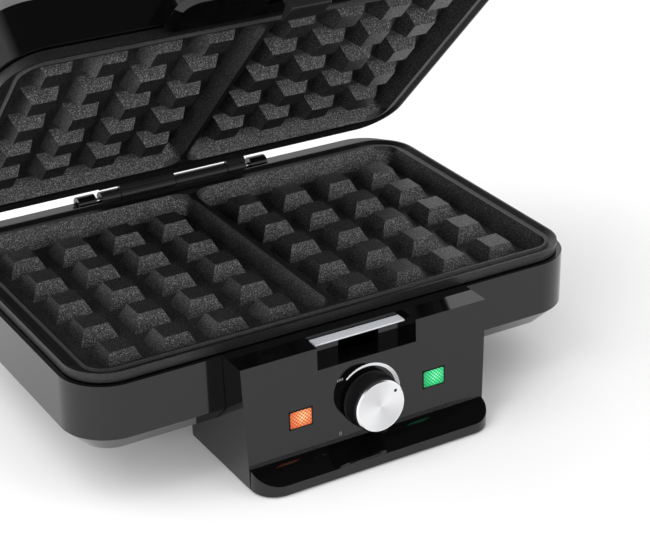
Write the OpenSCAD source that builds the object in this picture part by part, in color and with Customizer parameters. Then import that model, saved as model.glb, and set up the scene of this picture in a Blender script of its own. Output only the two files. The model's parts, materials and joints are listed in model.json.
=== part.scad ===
// Two-slot waffle maker: a raised base on a control pedestal, a hinged lid, two cast waffle
// plates with their heaters, a thermostat with its knob, two indicator lamps and a lid latch.
// Frame: X to the right, Y to the back, Z up. The origin is on the table, under the middle
// of the open appliance.

/* [Waffle plates] */
// Distance between the middles of two pockets
pocket_pitch = 25; // [22:0.5:28]
// Pockets across one waffle
pocket_cols = 4; // [3:1:4]
// Pockets from front to back of one waffle
pocket_rows = 5; // [4:1:5]
// Height of a knob above the floor of its cavity
knob_height = 7.2; // [5:0.2:9]
// Width of a knob's flat tip
knob_tip = 11; // [8:0.5:13]
// Draft of the knobs, degrees from upright
knob_draft = 26.5; // [10:0.5:28]
// Depth of the knob tips below the rim
tip_recess = 1.9; // [1:0.1:4]
// Depth of the overflow groove round the cavities
groove_depth = 1.3; // [0.6:0.1:2]
// Slope of the groove's outer flank from upright, degrees
groove_flank = 60; // [45:1:65]
// Flat border between the outer pockets and the cavity's side lips
side_border = 6.5; // [5:0.25:9]
// Flat border between the outer pockets and the cavity's front and rear lips
end_border = 7.25; // [5:0.25:9]
// Draft of the cavity's walls, degrees from upright
wall_draft = 24; // [5:1:26]
// Corner radius of a cavity at its lip
cavity_corner = 9; // [7:0.5:12]
// Half width of the ridge between the two waffles
divider_half = 0.9; // [0.8:0.1:3]
// Depth of the ridge's top below the rim
divider_drop = 0.9; // [0.4:0.1:1.6]
// Width of the rim beside the outer cavity lips
rim_side = 7.8; // [6:0.1:12]
// Width of the rim in front of the cavities
rim_front = 5.6; // [4.5:0.1:10]
// Width of the rim behind the cavities
rim_rear = 9.5; // [6:0.1:14]
// Height of the rim's visible outer wall
rim_height = 4.3; // [3:0.1:6]
// Metal left under the cavity floor
plate_floor = 3; // [2:0.1:5]
// Step from the rim's outer wall in to the pan below it
pan_inset = 3.4; // [2:0.1:5]
// Gap between the two rims when the lid is down
rim_gap = 0.3; // [0.2:0.1:0.8]

/* [Base] */
// Height of the base's underside above the table
base_underside = 22.7; // [18:0.1:32]
// Height of the base's walls
base_height = 33.8; // [32:0.1:45]
// Distance from the plates' rear edge to the back of the base
rear_shelf = 16; // [14.5:0.1:28]
// Bevel along the lower edge of the base and the upper edge of the lid
edge_bevel = 9; // [4:0.2:10]
// Distance from the rim's outer wall out to the housing's outer wall
rim_inset = 2.4; // [2:0.1:5]
// Height of the rim's lower edge above the housing's edge
rim_lift = 0.5; // [0.3:0.1:0.8]
// Corner radius of the housings
housing_corner = 21.5; // [16:0.5:26]
// Wall thickness of the plastic housings
wall = 2; // [1.6:0.1:2.4]
// Thickness of the sheet cover under the base
cover_t = 1.6; // [1:0.1:2]
// Width of the cover under the base
cover_w = 116; // [90:1:130]
// Spacing of the rear legs
rear_leg_spacing = 176; // [150:1:190]
// Distance of the rear legs in front of the base's rear face
rear_leg_inset = 32; // [28:1:50]
// Radius of a rear leg at its top
rear_leg_r = 12; // [10:0.5:14]
// Height of the rubber pads that show below the feet
pad_height = 0.8; // [0.6:0.1:2]

/* [Lid] */
// Height of the lid housing's walls
lid_height = 30; // [27:0.5:40]
// Opening of the lid from closed, degrees
lid_open = 46; // [0:1:100]
// Half width of the lid's handle
handle_half = 54; // [35:0.5:56]
// Reach of the handle in front of the lid
handle_reach = 25; // [24:0.5:30]
// Thickness of the handle
handle_thick = 15; // [14:0.5:20]
// Corner radius of the handle
handle_corner = 10; // [7:0.5:12]

/* [Control pedestal] */
// Half width of the control box at its top
box_half_top = 60.5; // [56:0.5:64]
// Half width of the control box at the table
box_half_foot = 58.2; // [54:0.1:61]
// Height of the control box
box_height = 57; // [56:0.1:58]
// Reach of the front panel's top edge in front of the base
panel_reach = 15.5; // [14:0.5:19]
// Lean of the front panel back from upright, degrees
panel_lean = 2.3; // [0:0.1:5]
// Height of the crease between the front panel and the foot
crease_height = 10.3; // [8:0.1:12]
// Reach of the foot in front of the crease
foot_reach = 11.8; // [10:0.1:16]
// Height of the foot's front face
foot_face = 4.5; // [3.5:0.1:6]
// Corner radius of the foot, seen from above
foot_corner = 11; // [8:0.5:11.5]
// Length of the pedestal behind the front panel's crease
pedestal_depth = 52; // [44:1:60]
// Wall thickness of the pedestal
box_wall = 2.4; // [2:0.1:3]

/* [Controls] */
// Height of the knob's skirt above the crease at the panel's foot
knob_rise = 3.74; // [1:0.01:6]
// Radius of the knob's metal cap
cap_r = 11.9; // [10:0.1:12.4]
// Thickness of the knob's cap
cap_t = 1.4; // [1:0.1:2]
// Radius of the knob's skirt at its back
skirt_r = 13; // [12.6:0.1:15]
// Distance of the cap's face in front of the panel
knob_reach = 10.2; // [8.5:0.1:14]
// Radius of the dial ring
dial_r = 16.2; // [15:0.1:18]
// Thickness of the dial ring, a printed foil on the panel
dial_t = 0.3; // [0.2:0.05:1]
// Radius of the thermostat's shaft
shaft_r = 3; // [2:0.1:4]
// Radial running clearance of shafts and pins
running_fit = 0.06; // [0.02:0.01:0.1]
// Distance of each lamp lens from the middle
lens_x = 33.2; // [31:0.1:38]
// Width of a lamp lens
lens_w = 11.2; // [8:0.1:13]
// Height of a lamp lens
lens_h = 8.4; // [6:0.1:10]

/* [Latch] */
// Half width of the latch recess in the top of the control box
recess_half = 24.4; // [20:0.1:28]
// Depth of the latch recess below the top of the box
recess_deep = 10.3; // [8.5:0.1:14]
// Depth of the latch recess behind the front panel
recess_back = 7; // [6.4:0.1:9]
// Half width of the window for the latch's hook
window_half = 10; // [7:0.1:12]
// Reach of the keeper strip in front of the recess's back wall
keeper_reach = 1.8; // [1:0.1:3]
// Depth of the keeper strip's top below the top of the box
keeper_drop = 1.5; // [0.5:0.1:2.5]
// Depth of the keeper strip, front to back
keeper_w = 5.4; // [4.5:0.1:7]
// Thickness of the keeper strip
keeper_t = 0.8; // [0.6:0.1:1.5]
// Radius of the latch's pivot pin
latch_pin_r = 1.5; // [1:0.1:2]
// Swing of the latch between released and locked, degrees
latch_swing = 18; // [17:0.5:24]

/* [Hinge] */
// Distance of the hinge axis behind the plates
hinge_back = 7.5; // [7.2:0.1:8.5]
// Distance of the hinge axis below the rim of the lower plate
hinge_drop = 2.2; // [1.6:0.1:3]
// Radius of the hinge knuckles
knuckle_r = 4; // [3.4:0.1:4.2]
// Radius of the hinge pin
hinge_pin_r = 1.6; // [1:0.1:2]
// Length of a long middle knuckle
knuckle_long = 29; // [20:0.5:32]
// Length of a short end knuckle
knuckle_short = 10; // [6:0.5:12]
// Thickness of the hinge leaves
leaf_t = 2; // [1.2:0.1:2]
// Width of the blocks that hold the ends of the hinge pin
block_w = 9; // [6:0.5:12]

/* [Hidden] */
$fn = 64;

// clearances and overlaps
seat_gap = 0.3;
play = 0.5;
merge = 0.5;
through = 1;
screw_r = 1.5;
screw_head_r = 3;
screw_head_t = 1.8;
screw_hole_r = screw_r + 0.1;
boss_r = 4;

// screws, and how much deeper their holes go
cover_screw_grip = 4;
pedestal_screw_l = 8;
leaf_screw_grip = 1.5;
handle_screw_l = 12;
handle_screw_spare = 2;
handle_screw_inset = 14;
handle_screw_rise = 4;
leaf_screw_inset = 8;
leaf_screw_drop = 4.5;

// waffle cavities and the plate round them
cavity_depth = knob_height + tip_recess;
cavity_w = pocket_pitch * pocket_cols + 2 * side_border;
cavity_l = pocket_pitch * pocket_rows + 2 * end_border;
plate_half_x = divider_half + cavity_w + rim_side;
half_x = plate_half_x + rim_inset;
base_depth = rim_inset + rim_front + cavity_l + rim_rear + rear_shelf;
front_y = -base_depth / 2;
rear_y = base_depth / 2;
plate_y0 = front_y + rim_inset;
cavity_y0 = plate_y0 + rim_front;
cavity_y1 = cavity_y0 + cavity_l;
plate_y1 = cavity_y1 + rim_rear;
cavity_mid_y = (cavity_y0 + cavity_y1) / 2;
plate_corner = housing_corner - rim_inset;
pan_corner = plate_corner - pan_inset;
plate_depth = cavity_depth + plate_floor;
groove_lip = 0.9;
groove_edge = 1;
first_col_x = divider_half + side_border + pocket_pitch / 2;
first_row_y = cavity_y0 + end_border + pocket_pitch / 2;

// heights
base_top = base_underside + base_height;
rim_z = base_top + rim_lift + rim_height;
lid_rim_z = rim_z + rim_gap;
lid_edge_z = lid_rim_z + rim_height + rim_lift;
lid_top = lid_edge_z + lid_height;
lid_rear_y = plate_y1 + rim_inset;
pan_z = rim_z - plate_depth;

// heaters
element_r = 3.25;
element_bend = 14;
element_side = 34;
element_end = 24;
element_half_x = plate_half_x - element_side;
element_half_y = cavity_l / 2 - element_end;
sheet_t = 0.8;
post_h = 2 * element_r + 1.6;
post_x = plate_half_x / 2;
post_y = element_half_y - element_end;
cutout_r = 8;
cutout_flange = 2;

// legs, pads and the cover's vents
leg_taper = 3;
pad_rim = 5;
pad_sink = 1.2;
pad_gap = 0.05;
vent_pitch = 12;
vent_half_w = 2;
vent_half_l = 16;

// hinge
hinge_y = plate_y1 + hinge_back;
hinge_z = rim_z - hinge_drop;
knuckle_gap = 0.3;
trough_z = hinge_z - knuckle_r - play;
barrel_half = knuckle_long + knuckle_short;
pin_gap = 3;
block_x = barrel_half + pin_gap;
pin_half = block_x + block_w / 2;
trough_half = block_x + block_w + play;
trough_y0 = hinge_y - knuckle_r - play;
trough_y1 = hinge_y + knuckle_r + play;
lid_leaf_h = 17;

// Runs of the hinge barrel along X that belong to the base leaf and to the lid leaf
base_knuckles = [[-barrel_half, -knuckle_long - knuckle_gap],
    [knuckle_gap, knuckle_long - knuckle_gap]];
lid_knuckles = [[-knuckle_long, 0], [knuckle_long, barrel_half]];

// cord entry
cord_flange_t = 2;
cord_flange_w = 2.5;
cord_nose_w = 1;
cord_body_r = 5.5;
cord_bore_r = 3.4;
cord_tail = 4;
cord_x = 66;
cord_z = base_underside + edge_bevel + 9;

// control box
panel_y = front_y - panel_reach;
crease_drop = (box_height - crease_height) / cos(panel_lean);
knob_drop = crease_drop - skirt_r - knob_rise;
crease_y = panel_y - (box_height - crease_height) * tan(panel_lean);
foot_y = crease_y - foot_reach;
pedestal_y = crease_y + pedestal_depth;
cover_y0 = pedestal_y + 6;
cover_y1 = rear_y - 18;
cover_corner = 10;
cover_ledge = 7;
post_wall_x = box_half_foot - box_wall - boss_r - 1;
knob_gap = 0.3;
foil_gap = 0.05;
thermostat_front = -box_wall - 4;
thermostat_t = 15;
thermostat_r = 11;
lens_proud = 0.3;
lens_flange = 1.2;
holder_l = 7.5;
lamp_bore_r = 2.6;
bracket_w = 32;
bracket_h = 16;
bracket_t = 1.2;
terminal_inset = 26;
terminal_w = 34;
terminal_d = 14;
terminal_h = 13;

// latch
pivot_y = panel_y - 2.2;
pivot_z = lid_rim_z + handle_thick / 2 + 1.2;
recess_y = panel_y + recess_back;
keeper_y = recess_y - keeper_reach;
keeper_z = box_height - keeper_drop - keeper_t;
keeper_side = 2.2;
lever_half = window_half - play;
hook_gap = 0.45;
hook_top = keeper_z - hook_gap;
hook_h = 3;
hook_bite = 1.2;
arm_back = 0.6;
arm_t = 2.6;
eye_r = latch_pin_r + 2;
pocket_half = lever_half + 0.8;
pin_seat = 9;
pin_end_gap = 0.5;
tab_reach = 4.5;
tab_top = 2;
tab_fall = 2;
tab_t = 2;
tab_root = 5;

// the handle's edges
handle_seat = 0.2;
handle_chamfer_low = 2.5;
handle_chamfer_top = 4;
pocket_clear = 0.4;

// the open appliance is centred front to back on the origin
lid_wall = [lid_rear_y - hinge_y, lid_top - edge_bevel - hinge_z];
lid_brow = [lid_rear_y - edge_bevel - hinge_y, lid_top - hinge_z];
swung = [for (p = [lid_wall, lid_brow]) p[0] * cos(lid_open) + p[1] * sin(lid_open)];
origin_y = (foot_y + max(rear_y + cord_flange_t, hinge_y + max(swung))) / 2;

BLACK = [0.05, 0.05, 0.055];
STEEL = [0.75, 0.76, 0.78];
COATING = [0.12, 0.12, 0.125];

// ---- shared forms ----

// Puts a piece modelled about the base's middle into the part's frame.
module placed() {
    translate([0, -origin_y, 0]) children();
}

// Puts a piece modelled on the closed lid where the open lid holds it.
module lifted() {
    placed() translate([0, hinge_y, hinge_z]) rotate([-lid_open, 0, 0])
        translate([0, -hinge_y, -hinge_z]) children();
}

// Front panel frame: X right, Y up the panel, Z out of it, at a drop below its top edge.
module on_panel(x, drop) {
    translate([x, panel_y, box_height]) rotate([90 - panel_lean, 0, 0])
        translate([0, -drop, 0]) children();
}

module rounded(x0, x1, y0, y1, r) {
    translate([x0 + r, y0]) square([x1 - x0 - 2 * r, y1 - y0]);
    translate([x0, y0 + r]) square([x1 - x0, y1 - y0 - 2 * r]);
    for (x = [x0 + r, x1 - r], y = [y0 + r, y1 - r]) translate([x, y]) circle(r);
}

module slab(x0, x1, y0, y1, r, z0, z1) {
    translate([0, 0, z0]) linear_extrude(z1 - z0) rounded(x0, x1, y0, y1, r);
}

// A YZ outline drawn out along X, and an XZ outline drawn out along Y.
module along_x(x0, x1) {
    translate([x0, 0, 0]) rotate([90, 0, 90]) linear_extrude(x1 - x0) children();
}

module along_y(y0, y1) {
    translate([0, y1, 0]) rotate([90, 0, 0]) linear_extrude(y1 - y0) children();
}

module block(x0, x1, y0, y1, z0, z1) {
    translate([x0, y0, z0]) cube([x1 - x0, y1 - y0, z1 - z0]);
}

// A rounded block whose side follows steps of [inset, z], from its lower face to its upper.
module stepped(x0, x1, y0, y1, r, steps) {
    last = len(steps) - 1;
    along_y(y0 + r, y1 - r) polygon(concat(
        [for (s = steps) [x1 - s[0], s[1]]], [for (i = [last:-1:0]) [x0 + steps[i][0], steps[i][1]]]));
    along_x(x0 + r, x1 - r) polygon(concat(
        [for (s = steps) [y1 - s[0], s[1]]], [for (i = [last:-1:0]) [y0 + steps[i][0], steps[i][1]]]));
    for (x = [x0 + r, x1 - r], y = [y0 + r, y1 - r]) translate([x, y, 0]) rotate_extrude()
        polygon(concat([[0, steps[0][1]]], [for (s = steps) [r - s[0], s[1]]], [[0, steps[last][1]]]));
}

module round_bar(x0, x1, y, z, r) {
    translate([x0, y, z]) rotate([0, 90, 0]) cylinder(r = r, h = x1 - x0);
}

// A pan-head screw with its head's underside at the origin and its shank up +Z.
module screw(length) {
    translate([0, 0, -screw_head_t / 2]) cylinder(r = screw_r, h = length + screw_head_t / 2);
    translate([0, 0, -screw_head_t]) cylinder(r = screw_head_r, h = screw_head_t);
}

// ---- waffle plates: rim plane at z = 0, cavities and pan below it ----

module plate_cavities() {
    slope = cavity_depth * tan(wall_draft);
    for (side = [0, 1]) mirror([side, 0, 0])
        stepped(divider_half, divider_half + cavity_w, cavity_y0, cavity_y1, cavity_corner,
            [[slope, -cavity_depth], [0, 0]]);
    block(-divider_half - 1, divider_half + 1, cavity_y0 + 2, cavity_y1 - 2, -divider_drop, through);
}

// Overflow groove between the cavities' lip and the outer edge of the rim.
module overflow_groove() {
    run_out = groove_depth * tan(groove_flank);
    half = divider_half + cavity_w + groove_lip;
    difference() {
        stepped(-plate_half_x + groove_edge, plate_half_x - groove_edge, plate_y0 + groove_edge,
            plate_y1 - groove_edge, plate_corner - groove_edge,
            [[run_out, -groove_depth], [0, 0], [0, through]]);
        stepped(-half, half, cavity_y0 - groove_lip, cavity_y1 + groove_lip,
            cavity_corner + groove_lip,
            [[-groove_depth, -groove_depth - through], [0, 0], [0, 2 * through]]);
    }
}

function ridge(middle) = let (grow = (knob_height + merge) * tan(knob_draft), t = knob_tip / 2)
    [[middle - t - grow, -cavity_depth - merge], [middle + t + grow, -cavity_depth - merge],
        [middle + t, -tip_recess], [middle - t, -tip_recess]];

module knob_grid() {
    reach = divider_half + cavity_w;
    intersection() {
        union() for (side = [-1, 1], col = [0:pocket_cols - 1])
            along_y(cavity_y0, cavity_y1) polygon(ridge(side * (first_col_x + col * pocket_pitch)));
        union() for (row = [0:pocket_rows - 1])
            along_x(-reach, reach) polygon(ridge(first_row_y + row * pocket_pitch));
    }
}

module waffle_plate() {
    difference() {
        union() {
            slab(-plate_half_x, plate_half_x, plate_y0, plate_y1, plate_corner, -rim_height, 0);
            slab(-plate_half_x + pan_inset, plate_half_x - pan_inset, plate_y0 + pan_inset,
                plate_y1 - pan_inset, pan_corner, -plate_depth, -rim_height + merge);
            for (x = [-post_x, post_x], y = [-post_y, post_y])
                translate([x, cavity_mid_y + y, -plate_depth - post_h])
                    cylinder(r = boss_r, h = post_h + merge);
        }
        plate_cavities();
        overflow_groove();
        for (x = [-post_x, post_x], y = [-post_y, post_y])
            translate([x, cavity_mid_y + y, -plate_depth - post_h - through])
                cylinder(r = screw_hole_r, h = post_h + through + plate_floor / 2);
    }
    knob_grid();
}

// A tubular heater in a closed round-cornered loop under the pan, with two leads at the back.
module heating_loop() {
    z = -plate_depth - element_r;
    hx = element_half_x - element_bend;
    hy = element_half_y - element_bend;
    translate([0, cavity_mid_y, z]) {
        for (side = [-1, 1]) {
            translate([side * element_half_x, hy, 0]) rotate([90, 0, 0])
                cylinder(r = element_r, h = 2 * hy);
            translate([-hx, side * element_half_y, 0]) rotate([0, 90, 0])
                cylinder(r = element_r, h = 2 * hx);
        }
        for (turn = [[1, 1, 0], [-1, 1, 90], [-1, -1, 180], [1, -1, 270]])
            translate([turn[0] * hx, turn[1] * hy, 0]) rotate([0, 0, turn[2]])
                rotate_extrude(angle = 90) translate([element_bend, 0]) circle(element_r);
    }
}

// A shallow sheet tray that carries the heater against the pan.
module heat_tray() {
    z0 = -plate_depth - post_h - sheet_t;
    x = element_half_x + 3 * element_r;
    y0 = cavity_mid_y - element_half_y - 3 * element_r;
    y1 = cavity_mid_y + element_half_y + 3 * element_r;
    r = element_bend + 2 * element_r;
    difference() {
        slab(-x, x, y0, y1, r, z0, -plate_depth - seat_gap);
        slab(-x + sheet_t, x - sheet_t, y0 + sheet_t, y1 - sheet_t, r - sheet_t,
            z0 + sheet_t, through - plate_depth);
        for (px = [-post_x, post_x], py = [-post_y, post_y])
            translate([px, cavity_mid_y + py, z0 - through])
                cylinder(r = screw_hole_r, h = sheet_t + 2 * through);
    }
}

module plate_fixings() {
    for (x = [-post_x, post_x], y = [-post_y, post_y])
        translate([x, cavity_mid_y + y, -plate_depth - post_h - sheet_t]) screw(post_h + sheet_t);
}

module lower_side() {
    placed() translate([0, 0, rim_z]) children();
}

module upper_side() {
    lifted() translate([0, 0, lid_rim_z]) mirror([0, 0, 1]) children();
}

module lower_plate() { color(COATING) lower_side() waffle_plate(); }
module lower_element() { color(STEEL) lower_side() heating_loop(); }
module lower_reflector() { color(STEEL) lower_side() heat_tray(); }
module lower_plate_screws() { color(STEEL) lower_side() plate_fixings(); }
module upper_plate() { color(COATING) upper_side() waffle_plate(); }
module upper_element() { color(STEEL) upper_side() heating_loop(); }
module upper_reflector() { color(STEEL) upper_side() heat_tray(); }
module upper_plate_screws() { color(STEEL) upper_side() plate_fixings(); }

module thermal_cutout() {
    color(STEEL) lower_side() translate([0, cavity_mid_y, -plate_depth - post_h]) {
        cylinder(r = cutout_r, h = post_h - merge);
        translate([0, 0, post_h - cutout_flange]) cylinder(r = cutout_r + cutout_flange, h = cutout_flange);
    }
}

// ---- base ----

// The opening in a housing's edge that the pan drops into.
module pan_opening(z0, z1) {
    inset = pan_inset - play;
    slab(-plate_half_x + inset, plate_half_x - inset, plate_y0 + inset, plate_y1 - inset,
        pan_corner + play, z0, z1);
}

module base_form(inset, z0, z1) {
    bevel = edge_bevel - inset * tan(22.5);
    stepped(-half_x + inset, half_x - inset, front_y + inset, rear_y - inset,
        housing_corner - inset, [[bevel, z0], [0, z0 + bevel], [0, z1]]);
}

module cover_screw_places() {
    for (side = [-1, 1], y = [cover_y0 + cover_ledge / 2, cover_y1 - cover_ledge / 2])
        translate([side * (cover_w / 2 - cover_corner), y, base_underside]) children();
}

module leg_places() {
    for (side = [-1, 1])
        translate([side * rear_leg_spacing / 2, rear_y - rear_leg_inset, 0]) children();
}

module base_shell() {
    floor_z = base_underside + wall + cover_t;
    difference() {
        base_form(0, base_underside, base_top);
        base_form(wall, floor_z, base_top - wall);
        pan_opening(base_top - wall - through, base_top + through);
    }
    difference() {
        block(-trough_half - wall, trough_half + wall, trough_y0 - wall, rear_y - wall / 2,
            trough_z - wall, base_top - wall / 2);
        block(-half_x, half_x, lid_rear_y, plate_y1 - pan_inset + play, 0, base_top);
    }
    for (z = [floor_z - merge]) cover_screw_places()
        translate([0, 0, z - base_underside]) cylinder(r = boss_r, h = 6);
}

module base_housing() {
    color(BLACK) placed() difference() {
        base_shell();
        // trough for the hinge barrel, and slots for its leaf
        block(-trough_half, trough_half, trough_y0, trough_y1, trough_z, base_top + through);
        for (run = base_knuckles)
            block(run[0] - seat_gap, run[1] + seat_gap, hinge_y - leaf_t / 2 - seat_gap,
                hinge_y + leaf_t / 2 + seat_gap, trough_z - wall - through, trough_z + through);
        // cover recess and service opening
        slab(-cover_w / 2, cover_w / 2, cover_y0, cover_y1, cover_corner,
            base_underside - through, base_underside + cover_t);
        slab(-cover_w / 2 + cover_ledge, cover_w / 2 - cover_ledge, cover_y0 + cover_ledge,
            cover_y1 - cover_ledge, cover_corner - cover_ledge / 2,
            base_underside, base_underside + cover_t + wall + through);
        cover_screw_places() cylinder(r = screw_hole_r,
            h = cover_t + wall + cover_screw_grip + 1);
        // wiring opening through the front wall and the floor into the control pedestal
        block(-box_half_foot + 14, box_half_foot - 14, front_y - through,
            pedestal_y - box_wall - 2, base_underside - through, base_top - wall - 3);
        // rear legs' screws and the cord entry
        leg_places() translate([0, 0, base_underside - through]) cylinder(r = screw_hole_r, h = 12);
        cord_place() cylinder(r = cord_body_r + 0.05, h = 3 * wall, center = true);
    }
}

module base_cover() {
    color(STEEL) placed() difference() {
        slab(-cover_w / 2 + seat_gap, cover_w / 2 - seat_gap, cover_y0 + seat_gap,
            cover_y1 - seat_gap, cover_corner - seat_gap, base_underside, base_underside + cover_t);
        cover_screw_places() translate([0, 0, -through])
            cylinder(r = screw_hole_r, h = cover_t + 2 * through);
        for (i = [-3:3]) block(i * vent_pitch - vent_half_w, i * vent_pitch + vent_half_w,
            cavity_mid_y - vent_half_l, cavity_mid_y + vent_half_l,
            base_underside - through, base_underside + cover_t + through);
    }
}

module cover_screws() {
    color(STEEL) placed() cover_screw_places() screw(cover_t + wall + cover_screw_grip);
}

module rear_legs() {
    color(BLACK) placed() leg_places() difference() {
        translate([0, 0, pad_height]) cylinder(r1 = rear_leg_r - leg_taper, r2 = rear_leg_r,
            h = base_underside - pad_height);
        translate([0, 0, pad_height - through]) cylinder(r = rear_leg_r - pad_rim,
            h = pad_sink + through);
        translate([0, 0, base_underside - 8]) cylinder(r = screw_hole_r, h = 8 + through);
    }
}

module rear_pads() {
    color(BLACK) placed() leg_places()
        cylinder(r = rear_leg_r - pad_rim - pad_gap, h = pad_height + pad_sink);
}

// ---- control box on its pedestal ----

// Side outline: inset from the outer walls, with its rear kept clear of the base by "clear".
function box_outline(inset, clear, z0) = [
    [panel_y + inset, box_height - inset], [crease_y + inset, crease_height],
    [crease_y + inset, z0], [pedestal_y - inset, z0], [pedestal_y - inset, base_underside - clear],
    [front_y + edge_bevel, base_underside - clear], [front_y - clear, base_underside + edge_bevel],
    [front_y - clear, box_height - inset]];

function foot_outline(inset, z0) = [
    [crease_y + inset + 0.01, crease_height - inset], [foot_y + inset, pad_height + foot_face - inset / 2],
    [foot_y + inset, z0], [crease_y + box_wall + 4, z0], [crease_y + box_wall + 4, crease_height - inset]];

module box_form(inset, clear, z0) {
    wide = box_half_top + through;
    intersection() {
        union() {
            along_x(-wide, wide) polygon(box_outline(inset, clear, z0));
            intersection() {
                along_x(-wide, wide) polygon(foot_outline(inset, z0));
                slab(-box_half_foot + inset, box_half_foot - inset, foot_y + inset,
                    pedestal_y, foot_corner - inset, z0 - through, box_height);
            }
        }
        along_y(foot_y - through, pedestal_y + through) polygon([
            [-box_half_foot + inset, -2 * through], [box_half_foot - inset, -2 * through],
            [box_half_top - inset, box_height + through], [-box_half_top + inset, box_height + through]]);
    }
}

module pedestal_screw_places() {
    for (side = [-1, 1], y = [crease_y + 12, pedestal_y - 12])
        translate([side * post_wall_x, y, pad_height]) children();
}

module control_box() {
    color(BLACK) placed() difference() {
        union() {
            difference() {
                box_form(0, seat_gap, pad_height);
                box_form(box_wall, -2 * through, -through);
            }
            // walls round the latch recess
            block(-recess_half - box_wall, recess_half + box_wall, panel_y + box_wall / 2,
                recess_y + box_wall, box_height - recess_deep - box_wall, box_height - box_wall / 2);
            block(-recess_half - box_wall, recess_half + box_wall, recess_y,
                keeper_y + keeper_w + box_wall, keeper_z - box_wall, box_height - box_wall / 2);
            // posts for the pedestal's cover
            pedestal_screw_places() translate([0, 0, box_wall])
                cylinder(r = boss_r, h = base_underside - box_wall - pad_height - seat_gap);
            for (side = [0, 1], y = [crease_y + 12, pedestal_y - 12]) mirror([side, 0, 0])
                block(post_wall_x - boss_r, box_half_foot - box_wall / 2, y - box_wall / 2,
                    y + box_wall / 2, pad_height + box_wall, base_underside - 4);
        }
        // latch recess, its keeper's ledge and the window for the hook in its back wall
        block(-recess_half, recess_half, panel_y - box_height * tan(panel_lean), recess_y,
            box_height - recess_deep, box_height + through);
        block(-recess_half, recess_half, recess_y - through, keeper_y + keeper_w + seat_gap,
            keeper_z, box_height + through);
        block(-window_half, window_half, recess_y - through, recess_y + box_wall + through,
            box_height - recess_deep, keeper_z + through);
        on_panel(0, knob_drop) translate([0, 0, -2 * box_wall])
            cylinder(r = shaft_r + running_fit, h = 3 * box_wall);
        for (side = [-1, 1]) on_panel(side * lens_x, knob_drop)
            lens_block(0.15, -2 * box_wall, through);
        pedestal_screw_places() cylinder(r = screw_hole_r, h = pedestal_screw_l + 4);
    }
}

module pedestal_cover() {
    inset = box_wall + seat_gap;
    color(BLACK) placed() difference() {
        intersection() {
            slab(-box_half_foot + inset, box_half_foot - inset, foot_y + inset,
                pedestal_y - inset, foot_corner - inset, pad_height, pad_height + box_wall);
            along_y(foot_y, pedestal_y) polygon([[-box_half_foot + inset, 0], [box_half_foot - inset, 0],
                [box_half_foot - inset, box_height], [-box_half_foot + inset, box_height]]);
        }
        pedestal_screw_places() translate([0, 0, -through])
            cylinder(r = screw_hole_r, h = box_wall + 2 * through);
        pad_strips(0.05, 0, pad_height + 1);
    }
}

module pedestal_screws() {
    color(STEEL) placed() pedestal_screw_places() screw(pedestal_screw_l);
}

module pad_strips(clear, z0, z1) {
    half = box_half_foot - 16 + clear;
    for (y = [foot_y + 6.5, pedestal_y - 8])
        slab(-half, half, y - 3.5 - clear, y + 3.5 + clear, 3.4 + clear, z0, z1);
}

module front_pads() {
    color(BLACK) placed() pad_strips(0, 0, pad_height + 1);
}

module latch_keeper() {
    color(STEEL) placed()
        block(-recess_half + keeper_side, recess_half - keeper_side, keeper_y, keeper_y + keeper_w,
            keeper_z, keeper_z + keeper_t);
}

// ---- controls on the front panel ----

module lens_block(clear, z0, z1) {
    translate([-lens_w / 2 - clear, -lens_h / 2 - clear, z0])
        cube([lens_w + 2 * clear, lens_h + 2 * clear, z1 - z0]);
}

module lens() {
    lens_block(0, -box_wall - 1, lens_proud);
    lens_block(lens_flange, -box_wall - 1, -box_wall - seat_gap / 2);
}

module power_lens() { color([0.95, 0.3, 0.15]) placed() on_panel(-lens_x, knob_drop) lens(); }
module ready_lens() { color([0.1, 0.8, 0.3]) placed() on_panel(lens_x, knob_drop) lens(); }

module lamp_holders() {
    color(BLACK) placed() for (side = [-1, 1]) on_panel(side * lens_x, knob_drop)
        translate([0, 0, -box_wall - 1]) difference() {
            translate([-lens_w / 2, -lens_h / 2, -holder_l]) cube([lens_w, lens_h, holder_l]);
            translate([0, 0, -holder_l - through]) cylinder(r = lamp_bore_r,
                h = holder_l + 2 * through);
        }
}

module dial_ring() {
    color(BLACK) placed() on_panel(0, knob_drop) difference() {
        translate([0, 0, foil_gap]) cylinder(r = dial_r, h = dial_t - foil_gap);
        translate([0, 0, -through]) cylinder(r = shaft_r + play, h = dial_t + 2 * through);
        // flat at the bottom, clear of the foot's slope
        block(-dial_r, dial_r, -2 * dial_r, knob_drop - crease_drop + seat_gap, -through, dial_t + through);
    }
}

module control_knob() {
    front = knob_reach - cap_t;
    back = dial_t + knob_gap;
    color(BLACK) placed() on_panel(0, knob_drop) difference() {
        union() {
            translate([0, 0, back]) cylinder(r1 = skirt_r, r2 = skirt_r - 0.8, h = 1.4);
            translate([0, 0, back]) cylinder(r1 = cap_r + 0.9, r2 = cap_r + 0.4, h = front - back);
        }
        translate([0, 0, back - through]) cylinder(r = shaft_r, h = front - back - 1.2 + through);
    }
}

module knob_cap() {
    color(STEEL) placed() on_panel(0, knob_drop) translate([0, 0, knob_reach - cap_t]) {
        cylinder(r = cap_r, h = cap_t - 0.4);
        translate([0, 0, cap_t - 0.41]) cylinder(r1 = cap_r, r2 = cap_r - 0.5, h = 0.41);
    }
}

module thermostat_shaft() {
    color(STEEL) placed() on_panel(0, knob_drop) translate([0, 0, thermostat_front - thermostat_t / 2])
        cylinder(r = shaft_r, h = knob_reach - cap_t - 1.5 - thermostat_front + thermostat_t / 2);
}

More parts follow.
